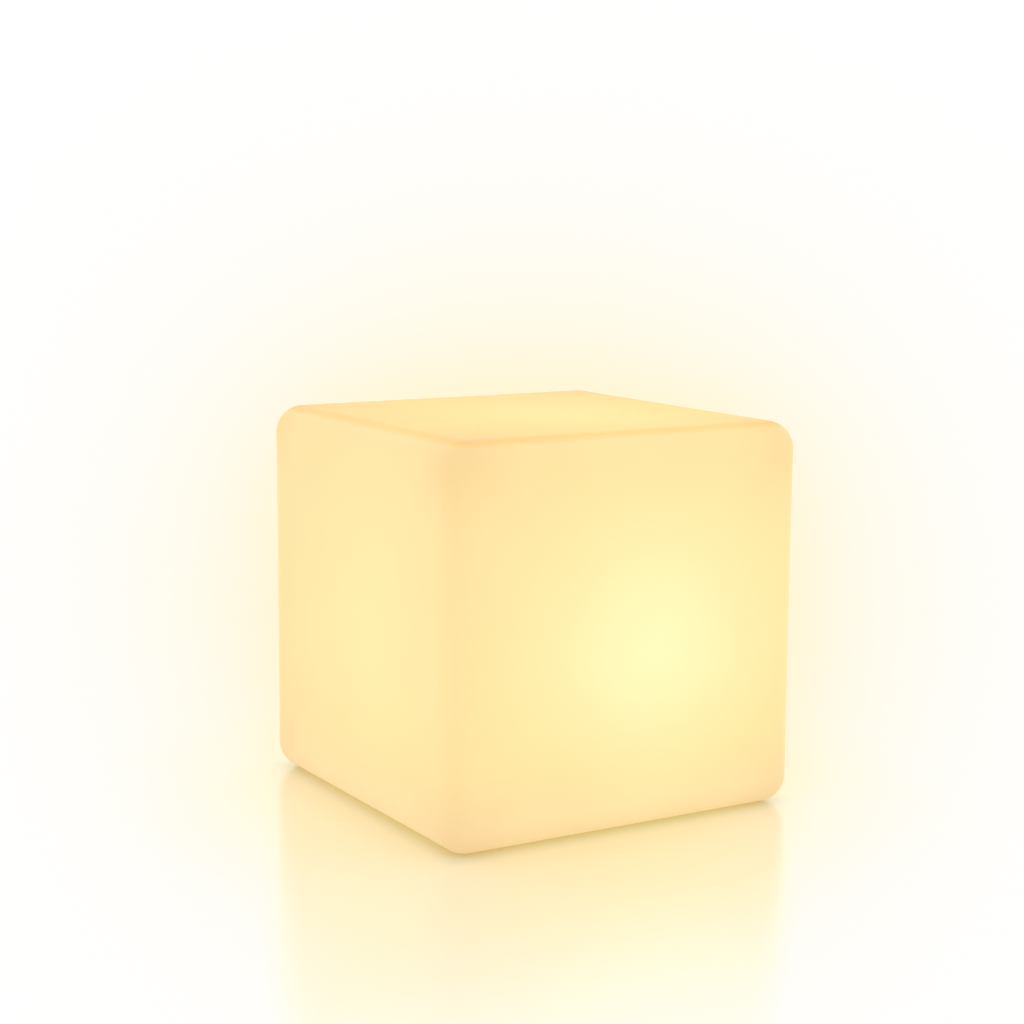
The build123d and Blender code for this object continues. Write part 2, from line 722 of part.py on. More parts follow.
def make_battery_tabs():
    """A nickel strip on each end of the cell, folded out to a lug for its lead."""
    tabs = []
    for side in (-1, 1):
        near = side * cell_length / 2
        far = near + side * tab_thickness
        lug_far = far + side * tab_lug_length
        low_y = cell_offset - tab_width / 2
        high_y = cell_offset + tab_width / 2
        lug_z = cell_z + tab_height / 2
        upright = block((min(near, far), low_y, cell_z - tab_height / 2),
                        (max(near, far), high_y, lug_z))
        lug = block((min(near, lug_far), low_y, lug_z - tab_thickness),
                    (max(near, lug_far), high_y, lug_z))
        tabs.append(upright + lug)
    return tabs


def make_battery_clamp():
    """A strap over the cell with a foot on each side."""
    inner = cell_diameter / 2 + clamp_gap
    outer = inner + clamp_thickness
    arch = Circle(outer) - Circle(inner)
    arch &= Pos(0, outer) * Rectangle(2 * outer, 2 * outer)
    for side in (-1, 1):
        middle = side * (inner + (clamp_foot_length + clamp_thickness) / 2)
        foot = Rectangle(clamp_foot_length + clamp_thickness, clamp_thickness)
        arch += Pos(middle, clamp_thickness / 2) * foot
    upright = Plane((0, cell_offset, cell_z), x_dir=(0, 1, 0), z_dir=(1, 0, 0))
    strap = extrude(upright * arch, clamp_width / 2, both=True)
    hole_radius = small_screw_radius + screw_clearance
    return cut_holes(strap, clamp_screw_places, hole_radius, cell_z - cut_past, clamp_foot_top_z + cut_past)


# ------------------------------------------------------------------ lamp
def led_lead_slot(low, high):
    """The hole for the LED board's leads, through one piece of the lamp."""
    size = (led_wire_count * led_wire_pitch, 2 * wire_radius + led_wire_pitch / 2, high - low)
    return block_at((led_wire_x, led_wire_y), size, low)


def make_lamp_tray():
    tray = disc(tray_radius, tray_bottom_z, tray_top_z)
    for place in led_screw_places:
        tray += disc(standoff_radius, tray_bottom_z - tray_boss_height, tray_bottom_z, place)
    for place in led_screw_places:
        tray -= pilot_hole(place, led_board_top_z, led_screw_length)
    hole_radius = small_screw_radius + screw_clearance
    tray = cut_holes(tray, dome_screw_places, hole_radius, tray_bottom_z - cut_past, tray_top_z + cut_past)
    return tray - led_lead_slot(tray_bottom_z - cut_past, tray_top_z + cut_past)


def lamp_disc(radius, low, high):
    """A disc of the lamp with its three screw holes and the leads' slot."""
    hole_radius = small_screw_radius + screw_clearance
    plate = cut_holes(disc(radius, low, high), led_screw_places, hole_radius, low - cut_past, high + cut_past)
    return plate - led_lead_slot(low - cut_past, high + cut_past)


def make_led_chips():
    places = [(p, 360.0 * i / outer_led_count) for i, p in
              enumerate(round_places(outer_led_circle, outer_led_count, 0.0))]
    places += [(p, 360.0 * i / inner_led_count) for i, p in
               enumerate(round_places(inner_led_circle, inner_led_count, 0.0))]
    top_z = led_board_top_z + led_size[2]
    chips = []
    for (x, y), angle in places:
        package = Pos(x, y, led_board_top_z + led_size[2] / 2) * Rot(0, 0, angle) * Box(*led_size)
        chips.append(package - disc(led_window_radius, top_z - led_window_depth, top_z + cut_past, (x, y)))
    return chips


def make_ir_receiver():
    body = block_at((0.0, 0.0), receiver_size, led_board_top_z)
    lens_z = led_board_top_z + receiver_size[2] / 2
    lens = Pos(0, -receiver_size[1] / 2, lens_z) * Sphere(receiver_lens_radius)
    return body + lens


def cap_radius(base_radius_of_cap, rise):
    """The sphere's radius for a cap of this base and rise."""
    return (base_radius_of_cap ** 2 + rise ** 2) / (2 * rise)


def dome_body(radius, low, skirt_top, rise):
    """A solid skirt with a spherical cap on it."""
    sphere_radius = cap_radius(radius, rise)
    ball = Pos(0, 0, skirt_top + rise - sphere_radius) * Sphere(sphere_radius)
    above = disc(radius, skirt_top, skirt_top + rise + cut_past)
    return disc(radius, low, skirt_top) + (ball & above)


def make_diffuser_dome():
    skirt_top = dome_flange_top_z + dome_skirt_height
    flange = disc(tub_radius, seal_top_z, dome_flange_top_z)
    outside = dome_body(dome_skirt_radius, dome_flange_top_z, skirt_top, dome_rise + dome_wall)
    inside = dome_body(dome_inner_radius, seal_top_z - cut_past, skirt_top, dome_rise)
    dome = flange + outside - inside
    hole_radius = small_screw_radius + screw_clearance
    hole_top = dome_flange_top_z + cut_past
    return cut_holes(dome, dome_screw_places, hole_radius, seal_top_z - cut_past, hole_top)


def make_dome_seal():
    seal = ring(tub_radius - seal_inset, dome_inner_radius, tray_top_z, seal_top_z)
    hole_radius = small_screw_radius + screw_clearance
    return cut_holes(seal, dome_screw_places, hole_radius, tray_top_z - cut_past, seal_top_z + cut_past)


def led_wire_places():
    """The place of each of the LED board's leads, in a row."""
    first = led_wire_x - (led_wire_count - 1) * led_wire_pitch / 2
    return [first + i * led_wire_pitch for i in range(led_wire_count)]


def make_led_header():
    size = (led_wire_count * led_wire_pitch, led_header_depth, led_header_height)
    return block_at((led_wire_x, led_wire_y), size, board_top_z)


def make_led_leads():
    start_z = board_top_z + led_header_height
    loop_z = led_board_top_z + led_lead_loop
    pad_y = led_wire_y + led_pad_distance
    return [wire([(x, led_wire_y, start_z), (x, led_wire_y, loop_z),
                  (x, pad_y, loop_z), (x, pad_y, led_board_top_z)])
            for x in led_wire_places()]


# ------------------------------------------------------------------ all nodes
def pan_screws(places, head_low, length):
    return [pan_screw(place, head_low, length) for place in places]


nodes = {
    "cube_shell": make_cube_shell(),
    "module_base": make_module_base(),
    "base_gasket": make_base_gasket(),
    "base_screws": make_base_screws(),
    "power_button": make_power_button(),
    "button_retainer": make_button_retainer(),
    "button_seal": make_button_seal(),
    "button_spring": make_button_spring(),
    "tact_switch": make_tact_switch(),
    "switch_plunger": make_switch_plunger(),
    "dc_socket": make_dc_socket(),
    "socket_contacts": make_socket_contacts(),
    "socket_washer": make_socket_washer(),
    "socket_nut": make_socket_nut(),
    "socket_leads": make_socket_leads(),
    "port_cover": make_port_cover(),
    "cover_tether": make_cover_tether(),
    "light_pipe": make_light_pipe(),
    "indicator_led": make_indicator_led(),
    "control_board": make_control_board(),
    "board_screws": pan_screws(standoff_places, board_top_z, board_screw_length),
    "board_chips": make_board_chips(),
    "board_inductor": make_board_inductor(),
    "board_capacitor": make_board_capacitor(),
    "battery_header": make_battery_header(),
    "battery_plug": make_battery_plug(),
    "battery_leads": make_battery_leads(),
    "battery_cell": make_battery_cell(),
    "battery_tabs": make_battery_tabs(),
    "battery_clamp": make_battery_clamp(),
    "clamp_screws": pan_screws(clamp_screw_places, clamp_foot_top_z, clamp_screw_length),
    "lamp_tray": make_lamp_tray(),
    "heat_spreader": lamp_disc(spreader_radius, tray_top_z, spreader_top_z),
    "led_board": lamp_disc(led_board_radius, spreader_top_z, led_board_top_z),
    "led_board_screws": pan_screws(led_screw_places, led_board_top_z, led_screw_length),
    "led_chips": make_led_chips(),
    "ir_receiver": make_ir_receiver(),
    "led_header": make_led_header(),
    "led_leads": make_led_leads(),
    "dome_seal": make_dome_seal(),
    "diffuser_dome": make_diffuser_dome(),
    "dome_screws": pan_screws(dome_screw_places, dome_flange_top_z, dome_screw_length),
}

os.makedirs("parts", exist_ok=True)
for name, shape in nodes.items():
    items = shape if isinstance(shape, list) else [shape]
    solids = [solid for item in items for solid in item.solids()]
    export_step(Compound(children=solids), f"parts/{name}.step")
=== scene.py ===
import json
import math

import bpy
from mathutils import Matrix, Vector


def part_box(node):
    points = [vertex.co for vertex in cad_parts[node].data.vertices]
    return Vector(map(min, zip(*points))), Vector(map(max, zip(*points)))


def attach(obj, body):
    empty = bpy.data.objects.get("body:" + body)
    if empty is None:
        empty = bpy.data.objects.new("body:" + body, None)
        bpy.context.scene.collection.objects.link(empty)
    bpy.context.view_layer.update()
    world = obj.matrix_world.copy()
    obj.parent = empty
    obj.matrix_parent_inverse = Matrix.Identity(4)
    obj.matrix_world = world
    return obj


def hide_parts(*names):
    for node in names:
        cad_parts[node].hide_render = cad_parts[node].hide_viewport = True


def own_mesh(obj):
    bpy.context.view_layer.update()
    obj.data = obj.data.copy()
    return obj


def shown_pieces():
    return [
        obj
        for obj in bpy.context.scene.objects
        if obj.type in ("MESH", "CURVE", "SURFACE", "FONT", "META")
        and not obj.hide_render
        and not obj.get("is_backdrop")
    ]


# Looks of the glowing cube lamp, in metres, in the frame of its CAD model.
# +Z is up, the cube stands on Z = 0, and -Y is its broad face in the picture.

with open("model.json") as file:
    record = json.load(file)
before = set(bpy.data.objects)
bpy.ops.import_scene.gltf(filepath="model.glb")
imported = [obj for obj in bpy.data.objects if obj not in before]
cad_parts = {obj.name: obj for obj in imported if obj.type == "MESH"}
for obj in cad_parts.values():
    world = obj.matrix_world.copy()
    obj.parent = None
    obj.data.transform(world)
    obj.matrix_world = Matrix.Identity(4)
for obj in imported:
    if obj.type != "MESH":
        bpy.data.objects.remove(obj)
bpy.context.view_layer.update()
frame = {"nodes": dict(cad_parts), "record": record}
nodes = frame["nodes"]
cube_low, cube_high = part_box("cube_shell")
cube_width = cube_high.x - cube_low.x
cube_height = cube_high.z - cube_low.z
cube_centre = (cube_low + cube_high) / 2
MM = 0.001
BLACK = (0.0, 0.0, 0.0)
WHITE = (1.0, 1.0, 1.0)

# ------------------------------------------------------------------ camera
CAMERA_AZIMUTH = -30.97     # degrees; 0 looks along +Y
CAMERA_ELEVATION = 8.91
CAMERA_ROLL = 0.35
CAMERA_DISTANCE = 5.567     # from the cube's centre, in cube heights
CAMERA_RIGHT = -0.0386      # shift sideways and upwards, in cube heights
CAMERA_UP = 0.2328
SENSOR_WIDTH = 36.0         # mm
LENS = 73.67                # mm


def view_axes(azimuth, elevation, roll):
    """The camera's right, up and back directions."""
    a, e, r = (math.radians(v) for v in (azimuth, elevation, roll))
    back = Vector((math.sin(a) * math.cos(e), -math.cos(a) * math.cos(e), math.sin(e)))
    level_right = Vector((math.cos(a), math.sin(a), 0.0))
    level_up = back.cross(level_right)
    right = math.cos(r) * level_right + math.sin(r) * level_up
    return right, back.cross(right), back


def add_camera():
    right, up, back = view_axes(CAMERA_AZIMUTH, CAMERA_ELEVATION, CAMERA_ROLL)
    offset = back * CAMERA_DISTANCE + right * CAMERA_RIGHT + up * CAMERA_UP
    data = bpy.data.cameras.new("camera")
    data.sensor_width = SENSOR_WIDTH
    data.lens = LENS
    camera = bpy.data.objects.new("camera", data)
    bpy.context.scene.collection.objects.link(camera)
    turn = Matrix((right, up, back)).transposed()
    camera.matrix_world = Matrix.Translation(cube_centre + offset * cube_height) @ turn.to_4x4()
    bpy.context.scene.camera = camera


# ------------------------------------------------------------------ material helpers
LEVEL_FACE = 0.5            # upward part of a normal that tells a level face from an upright one
TONE_BAND = (0.35, 0.65)    # noise between these levels runs from the dark tone to the light one
GRAIN_BAND = (0.3, 0.7)     # and from the smooth spots to the rough ones
LEAST_ROUGHNESS = 0.03


class Paint:
    """A Principled material and short ways to add nodes to it."""

    def __init__(self, name, **sockets):
        self.material = bpy.data.materials.new(name)
        self.material.use_nodes = True
        self.tree = self.material.node_tree
        self.shader = self.tree.nodes["Principled BSDF"]
        self.dress(**sockets)
        self.place = self.add("ShaderNodeTexCoord").outputs["Object"]
        self.x, self.y, self.z = self.split(self.place)
        self.up = self.split(self.add("ShaderNodeTexCoord").outputs["Normal"])[2]

    def set(self, node, socket, value):
        """Gives a socket a number, a colour or a link."""
        target = node.inputs[socket]
        if isinstance(value, bpy.types.NodeSocket):
            self.tree.links.new(value, target)
        elif hasattr(target.default_value, "__len__") and len(target.default_value) == 4:
            target.default_value = (*value, 1.0)
        else:
            target.default_value = value

    def dress(self, **sockets):
        """Sets sockets of the shader, which are named with _ in place of spaces."""
        for name, value in sockets.items():
            self.set(self.shader, name.replace("_", " "), value)

    def add(self, kind, **settings):
        """A node with its settings; names that it lacks are its sockets."""
        node = self.tree.nodes.new(kind)
        for name, value in settings.items():
            if hasattr(node, name):
                setattr(node, name, value)
            else:
                self.set(node, name.replace("_", " "), value)
        return node

    def math(self, operation, a, b=0.0, clamp=False):
        node = self.add("ShaderNodeMath", operation=operation, use_clamp=clamp)
        self.set(node, 0, a)
        self.set(node, 1, b)
        return node.outputs[0]

    def vector(self, operation, a, b):
        node = self.add("ShaderNodeVectorMath", operation=operation)
        self.set(node, 0, a)
        self.set(node, 1, b)
        return node.outputs["Vector"]

    def split(self, vector):
        """The X, Y and Z of a vector."""
        parts = self.add("ShaderNodeSeparateXYZ", Vector=vector)
        return parts.outputs["X"], parts.outputs["Y"], parts.outputs["Z"]

    def length(self, vector):
        node = self.add("ShaderNodeVectorMath", operation="LENGTH")
        self.set(node, 0, vector)
        return node.outputs["Value"]

    def stretch(self, value, low, high, to_low=0.0, to_high=1.0):
        """A value carried smoothly from one range to another, without leaving it."""
        node = self.add("ShaderNodeMapRange", interpolation_type="SMOOTHSTEP")
        for socket, number in zip(("Value", "From Min", "From Max", "To Min", "To Max"),
                                  (value, low, high, to_low, to_high)):
            self.set(node, socket, number)
        return node.outputs["Result"]

    def noise(self, size, detail=2.0, vector=None):
        """Soft noise whose lumps are about this size, in metres."""
        node = self.add("ShaderNodeTexNoise", Scale=1.0 / size, Detail=detail, Vector=vector or self.place)
        return node.outputs["Fac"]

    def ramp(self, value, stops, interpolation="LINEAR"):
        """A colour ramp with a colour at each place from 0 to 1."""
        node = self.add("ShaderNodeValToRGB", Fac=value)
        band = node.color_ramp
        band.interpolation = interpolation
        band.elements[0].position, band.elements[-1].position = stops[0][0], stops[-1][0]
        for position, _ in stops[1:-1]:
            band.elements.new(position)
        for element, (_, colour) in zip(band.elements, stops):
            element.color = (*colour, 1.0)
        return node.outputs["Color"]

    def mix(self, share, a, b, blend="MIX", clamp=False):
        """Colour a where the share is 0, and its blend with colour b where it is 1."""
        node = self.add("ShaderNodeMixRGB", blend_type=blend, use_clamp=clamp, Fac=share, Color1=a, Color2=b)
        return node.outputs["Color"]

    def bump(self, height, depth, strength=1.0):
        node = self.add("ShaderNodeBump", Strength=strength, Distance=depth, Height=height)
        self.dress(Normal=node.outputs["Normal"])

    def near(self, value, target, reach):
        """1 where a value is within reach of a target, else 0."""
        apart = self.math("ABSOLUTE", self.math("SUBTRACT", value, target))
        return self.math("LESS_THAN", apart, reach)

    def faces_up(self):
        """1 on faces that look up, else 0."""
        return self.math("GREATER_THAN", self.up, LEVEL_FACE)

    def faces_sideways(self):
        """1 on upright faces, else 0."""
        return self.math("LESS_THAN", self.math("ABSOLUTE", self.up), LEVEL_FACE)

    def tone(self, base, size, tint=0.05):
        """A base colour that changes a little from place to place."""
        dark = tuple(c * (1.0 - tint) for c in base)
        light = tuple(min(1.0, c * (1.0 + tint)) for c in base)
        return self.ramp(self.noise(size, detail=3.0), list(zip(TONE_BAND, (dark, light))))

    def gloss(self, roughness, size, spread=0.08):
        """Roughness that changes a little from place to place."""
        grain = self.noise(size)
        smooth = max(LEAST_ROUGHNESS, roughness - spread)
        self.dress(Roughness=self.stretch(grain, *GRAIN_BAND, smooth, roughness + spread))
        return grain


MOULDED_PATCH = 9 * MM      # size of the paler and darker patches of moulded pieces
STREAK_SHADE = 0.88         # brightness of a drawn metal's dark lines, against its light ones
STREAK_GLOSS = (-0.06, 0.08)    # change of its roughness in the dark and the light lines


def moulded(name, base, roughness, grain=0.5 * MM, depth=0.012 * MM, tint=0.04):
    """A moulded plastic or rubber with a fine even grain."""
    paint = Paint(name)
    paint.dress(Base_Color=paint.tone(base, MOULDED_PATCH, tint))
    paint.bump(paint.gloss(roughness, grain), depth)
    return paint


def drawn_metal(name, base, roughness, stretch_by, grain=0.25 * MM, depth=0.004 * MM):
    """A metal with fine lines, along the axis that stretch_by makes small."""
    paint = Paint(name, Metallic=1.0)
    lines = paint.vector("MULTIPLY", paint.place, stretch_by)
    streaks = paint.noise(grain, detail=3.0, vector=lines)
    dark = tuple(c * STREAK_SHADE for c in base)
    smooth, rough = (roughness + change for change in STREAK_GLOSS)
    paint.dress(Base_Color=paint.ramp(streaks, list(zip(GRAIN_BAND, (dark, base)))),
                Roughness=paint.stretch(streaks, *GRAIN_BAND, smooth, rough))
    paint.bump(streaks, depth)
    return paint


# ------------------------------------------------------------------ the glowing shell
GLOW_CENTRE = (0.012, -0.018, 0.089)    # where the light seems to come from inside the cube
GLOW_NEAR = 0.082           # from the glow's centre to the nearest face
GLOW_FALL = 2.0             # power of the fall with distance
GLOW_BELOW = 1.2            # how much faster it falls below the centre than above it
GLOW_COLOURS = [            # emitted colour from the dimmest place to the brightest
    (0.00, (0.50, 0.33, 0.110)),
    (0.25, (0.56, 0.39, 0.145)),
    (0.50, (0.58, 0.46, 0.175)),
    (0.75, (0.60, 0.53, 0.230)),
    (1.00, (0.62, 0.60, 0.300)),
]
WALL_PATCH = 0.045          # size of the thicker and thinner patches of the wall
WALL_CHANGE = 0.05          # how much they change the glow
EDGE_BAND = 0.016           # width of the darker band along the cube's edges
EDGE_DIM = 0.09
CORNER_START = 0.55         # share of the half widths where the corners start to dim
CORNER_DIM = 0.22
TOP_START = 0.74            # upward part of the normal from which the next cut begins
TOP_CUT = (0.0, 0.135, 0.155)   # taken off the glow of what faces up, which the studio lights most
BOUNCE = (0.0, 0.0, 0.035)  # whiter light from the floor, on the lowest part of the walls
BOUNCE_TOP = 0.045
SHELL_BASE = (0.42, 0.34, 0.20)
SHELL_PATCH = 0.06          # size of the patches of its own colour
SHELL_TINT = 0.02
SHELL_IOR = 1.5
SHELL_SPECULAR = 0.15
SHELL_ROUGHNESS = 0.43
SHELL_ROUGHNESS_SPREAD = 0.07
SHELL_GRAIN = 0.9 * MM
SHELL_GRAIN_DEPTH = 0.02 * MM
SHELL_GRAIN_STRENGTH = 0.6


def glow_amount(paint):
    """How bright the wall is, from 1 at its place nearest to the lamp down to 0."""
    x, y, z = paint.split(paint.vector("SUBTRACT", paint.place, GLOW_CENTRE))
    below = paint.math("MULTIPLY", paint.math("MINIMUM", z, 0.0), GLOW_BELOW)
    level = paint.math("ADD", below, paint.math("MAXIMUM", z, 0.0))
    offset = paint.add("ShaderNodeCombineXYZ", X=x, Y=y, Z=level)
    near = paint.math("DIVIDE", GLOW_NEAR, paint.length(offset.outputs["Vector"]))
    return paint.math("POWER", near, GLOW_FALL)


def edge_dimming(paint):
    """How much darker the wall is near the cube's edges, and more so near its corners."""
    half_width, half_height = cube_width / 2, cube_height / 2
    level = paint.math("SUBTRACT", paint.z, cube_centre.z)
    x = paint.math("DIVIDE", paint.math("ABSOLUTE", paint.x), half_width)
    y = paint.math("DIVIDE", paint.math("ABSOLUTE", paint.y), half_width)
    z = paint.math("DIVIDE", paint.math("ABSOLUTE", level), half_height)
    low_xy, high_xy = paint.math("MINIMUM", x, y), paint.math("MAXIMUM", x, y)
    second = paint.math("MAXIMUM", low_xy, paint.math("MINIMUM", high_xy, z))
    smallest = paint.math("MINIMUM", low_xy, z)
    edge = paint.stretch(second, 1.0 - EDGE_BAND / half_width, 1.0, 0.0, EDGE_DIM)
    return paint.math("ADD", edge, paint.stretch(smallest, CORNER_START, 1.0, 0.0, CORNER_DIM))


def shell_material(node):
    paint = Paint("milky_polyethylene", IOR=SHELL_IOR, Specular_IOR_Level=SHELL_SPECULAR)
    uneven = paint.math("SUBTRACT", paint.noise(WALL_PATCH, detail=3.0), 0.5)
    wall = paint.math("MULTIPLY", uneven, WALL_CHANGE)
    lit = paint.math("SUBTRACT", glow_amount(paint), edge_dimming(paint))
    glow = paint.ramp(paint.math("ADD", lit, wall, clamp=True), GLOW_COLOURS)
    cut = paint.mix(paint.stretch(paint.up, TOP_START, 1.0), glow, TOP_CUT, blend="SUBTRACT", clamp=True)
    low = paint.stretch(paint.z, 0.0, BOUNCE_TOP, 1.0, 0.0)
    paint.dress(Base_Color=paint.tone(SHELL_BASE, SHELL_PATCH, SHELL_TINT),
                Emission_Color=paint.mix(low, cut, BOUNCE, blend="ADD"), Emission_Strength=1.0)
    grain = paint.gloss(SHELL_ROUGHNESS, SHELL_GRAIN, SHELL_ROUGHNESS_SPREAD)
    paint.bump(grain, SHELL_GRAIN_DEPTH, SHELL_GRAIN_STRENGTH)
    return paint.material


# ------------------------------------------------------------------ the lamp inside
DOME_GLOW = [               # emitted colour from the middle of the dome to its rim
    (0.0, (0.46, 0.38, 0.20)),
    (0.5, (0.40, 0.30, 0.13)),
    (1.0, (0.20, 0.13, 0.05)),
]
LED_PACKAGE = (0.90, 0.88, 0.80)
LED_PATCH = 4 * MM
LED_LIGHT = (1.0, 0.80, 0.46)
LED_STRENGTH = 2.0
LED_WINDOW_DEPTH = 0.3 * MM     # from the top of the package down to its window
LED_WINDOW_REACH = 0.1 * MM     # what is this near to that level is window
PHOSPHOR_DARK = (0.90, 0.62, 0.10)
PHOSPHOR_LIGHT = (0.98, 0.74, 0.20)
PHOSPHOR_GRAIN = 0.3 * MM


def dome_material(node):
    """Frosted plastic that glows most over the middle of the LED board."""
    paint = moulded("frosted_polycarbonate", (0.60, 0.59, 0.55), 0.55, grain=0.35 * MM, depth=0.02 * MM)
    away = paint.length(paint.vector("MULTIPLY", paint.place, (1.0, 1.0, 0.0)))
    share = paint.math("DIVIDE", away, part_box(node)[1].x)
    paint.dress(Emission_Color=paint.ramp(share, DOME_GLOW), Emission_Strength=1.0)
    return paint.material


def led_material(node):
    """A pale package; the sunk window of each lit LED holds yellow phosphor."""
    paint = moulded("led_package_" + node, LED_PACKAGE, 0.4)
    if node == "indicator_led":
        return paint.material
    window_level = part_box(node)[1].z - LED_WINDOW_DEPTH
    sunk = paint.near(paint.z, window_level, LED_WINDOW_REACH)
    window = paint.math("MULTIPLY", sunk, paint.faces_up())
    grains = paint.noise(PHOSPHOR_GRAIN)
    phosphor = paint.ramp(grains, list(zip(GRAIN_BAND, (PHOSPHOR_DARK, PHOSPHOR_LIGHT))))
    paint.dress(Base_Color=paint.mix(window, paint.tone(LED_PACKAGE, LED_PATCH), phosphor),
                Emission_Color=paint.mix(window, BLACK, LED_LIGHT), Emission_Strength=LED_STRENGTH)
    return paint.material


# ------------------------------------------------------------------ circuit boards and what they carry
TRACK_UNIT = 7 * MM         # the next three sizes are in these units
TRACK_LENGTH = 2.6
TRACK_ROW = 0.16
TRACK_WIDTH = 0.03
TRACK_SOFTNESS = 0.1        # of the tracks' edges
TRACK_SHIFT = 0.37          # of every second row, as a share of the length
TRACK_GROUP = 2.4 * TRACK_UNIT  # size of the areas that have tracks, and of those without
TRACK_DEPTH = 0.03 * MM
TRACK_STRENGTH = 0.4
RESIST_PATCH = 3 * TRACK_UNIT
RESIST_TINT = 0.03
RESIST_ROUGHNESS = 0.30
RESIST_GRAIN = 3 * MM
RESIST_IOR = 1.5


def board_material(name, resist, trace, side):
    """A circuit board: groups of tracks that show through its resist, and the bare core at its cut rim."""
    paint = Paint(name, IOR=RESIST_IOR)
    rows = paint.add("ShaderNodeTexBrick", offset=TRACK_SHIFT, Vector=paint.place, Scale=1.0 / TRACK_UNIT,
                     Brick_Width=TRACK_LENGTH, Row_Height=TRACK_ROW, Mortar_Size=TRACK_WIDTH,
                     Mortar_Smooth=TRACK_SOFTNESS)
    groups = paint.math("GREATER_THAN", paint.noise(TRACK_GROUP, detail=0.0), 0.5)
    tracks = paint.math("MULTIPLY", rows.outputs["Fac"], groups)
    face = paint.mix(tracks, paint.tone(resist, RESIST_PATCH, RESIST_TINT), trace)
    paint.dress(Base_Color=paint.mix(paint.faces_sideways(), face, side))
    paint.gloss(RESIST_ROUGHNESS, RESIST_GRAIN)
    paint.bump(tracks, TRACK_DEPTH, TRACK_STRENGTH)
    return paint.material


def green_board_material(node):
    return board_material("green_board", (0.025, 0.19, 0.085), (0.05, 0.30, 0.12), (0.50, 0.46, 0.26))


def white_board_material(node):
    return board_material("white_board", (0.80, 0.80, 0.77), (0.74, 0.73, 0.69), (0.60, 0.61, 0.62))


EPOXY = (0.035, 0.035, 0.04)
TINNED = (0.72, 0.72, 0.70)
PIN_PITCH = 1.27 * MM
PIN_SHARE = 0.4             # width of a pin, as a share of the pitch
PIN_TOP = 0.45 * MM         # height of the pins over the chip's foot


def chip_material(node):
    """Dull black epoxy on top, over a band of tinned leads at the foot."""
    paint = moulded("chip_epoxy", EPOXY, 0.55, grain=0.2 * MM)
    pin = paint.math("LESS_THAN", paint.math("FRACT", paint.math("DIVIDE", paint.x, PIN_PITCH)), PIN_SHARE)
    low = paint.math("LESS_THAN", paint.z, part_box(node)[0].z + PIN_TOP)
    leads = paint.math("MULTIPLY", paint.math("MULTIPLY", paint.faces_sideways(), pin), low)
    paint.dress(Base_Color=paint.mix(leads, EPOXY, TINNED), Metallic=leads)
    return paint.material


def ferrite_material(node):
    return moulded("ferrite", (0.10, 0.10, 0.11), 0.6, grain=0.15 * MM, depth=0.03 * MM, tint=0.25).material


CAN_SLEEVE = (0.03, 0.035, 0.07)
CAN_TOP = (0.78, 0.79, 0.80)
CAN_SCORE = (0.30, 0.30, 0.31)
CAN_SCORE_REACH = 0.12 * MM     # half the width of the scored lines


def capacitor_material(node):
    """A dark sleeve with bare aluminium on top, scored with a vent cross."""
    paint = moulded("capacitor_can", CAN_SLEEVE, 0.35)
    low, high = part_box(node)
    centre = (low + high) / 2
    top = paint.faces_up()
    score = paint.math("MAXIMUM", paint.near(paint.x, centre.x, CAN_SCORE_REACH),
                       paint.near(paint.y, centre.y, CAN_SCORE_REACH))
    paint.dress(Base_Color=paint.mix(top, CAN_SLEEVE, paint.mix(score, CAN_TOP, CAN_SCORE)), Metallic=top)
    return paint.material


# ------------------------------------------------------------------ the cell and the leads
CELL_SLEEVE = (0.06, 0.22, 0.50)
CELL_TINT = 0.05
CELL_PATCH = 12 * MM
CELL_STEEL = (0.70, 0.70, 0.68)
CELL_BARE = 0.35 * MM       # length of the bare steel at each end


def cell_material(node):
    """A glossy shrink sleeve that leaves the steel bare at both ends."""
    paint = moulded("cell_sleeve", CELL_SLEEVE, 0.25, grain=5 * MM, depth=0.006 * MM, tint=CELL_TINT)
    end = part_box(node)[1].x
    bare = paint.math("GREATER_THAN", paint.math("ABSOLUTE", paint.x), end - CELL_BARE)
    sleeve = paint.tone(CELL_SLEEVE, CELL_PATCH, CELL_TINT)
    paint.dress(Base_Color=paint.mix(bare, sleeve, CELL_STEEL), Metallic=bare)
    return paint.material


LEAD_RED = (0.50, 0.04, 0.03)
LEAD_BLACK = (0.03, 0.03, 0.035)
LED_LEAD_COLOURS = [LEAD_RED, (0.04, 0.30, 0.09), (0.05, 0.12, 0.45), (0.75, 0.74, 0.70)]
SOCKET_BLACK_TOP = 1.5 * MM     # the socket's black lead fills this much at the top of the pair's box,
SOCKET_RED_SIDE = 1.7 * MM      # what is farther than this from its front,
SOCKET_BLACK_END = 2.6 * MM     # and this much at its right end


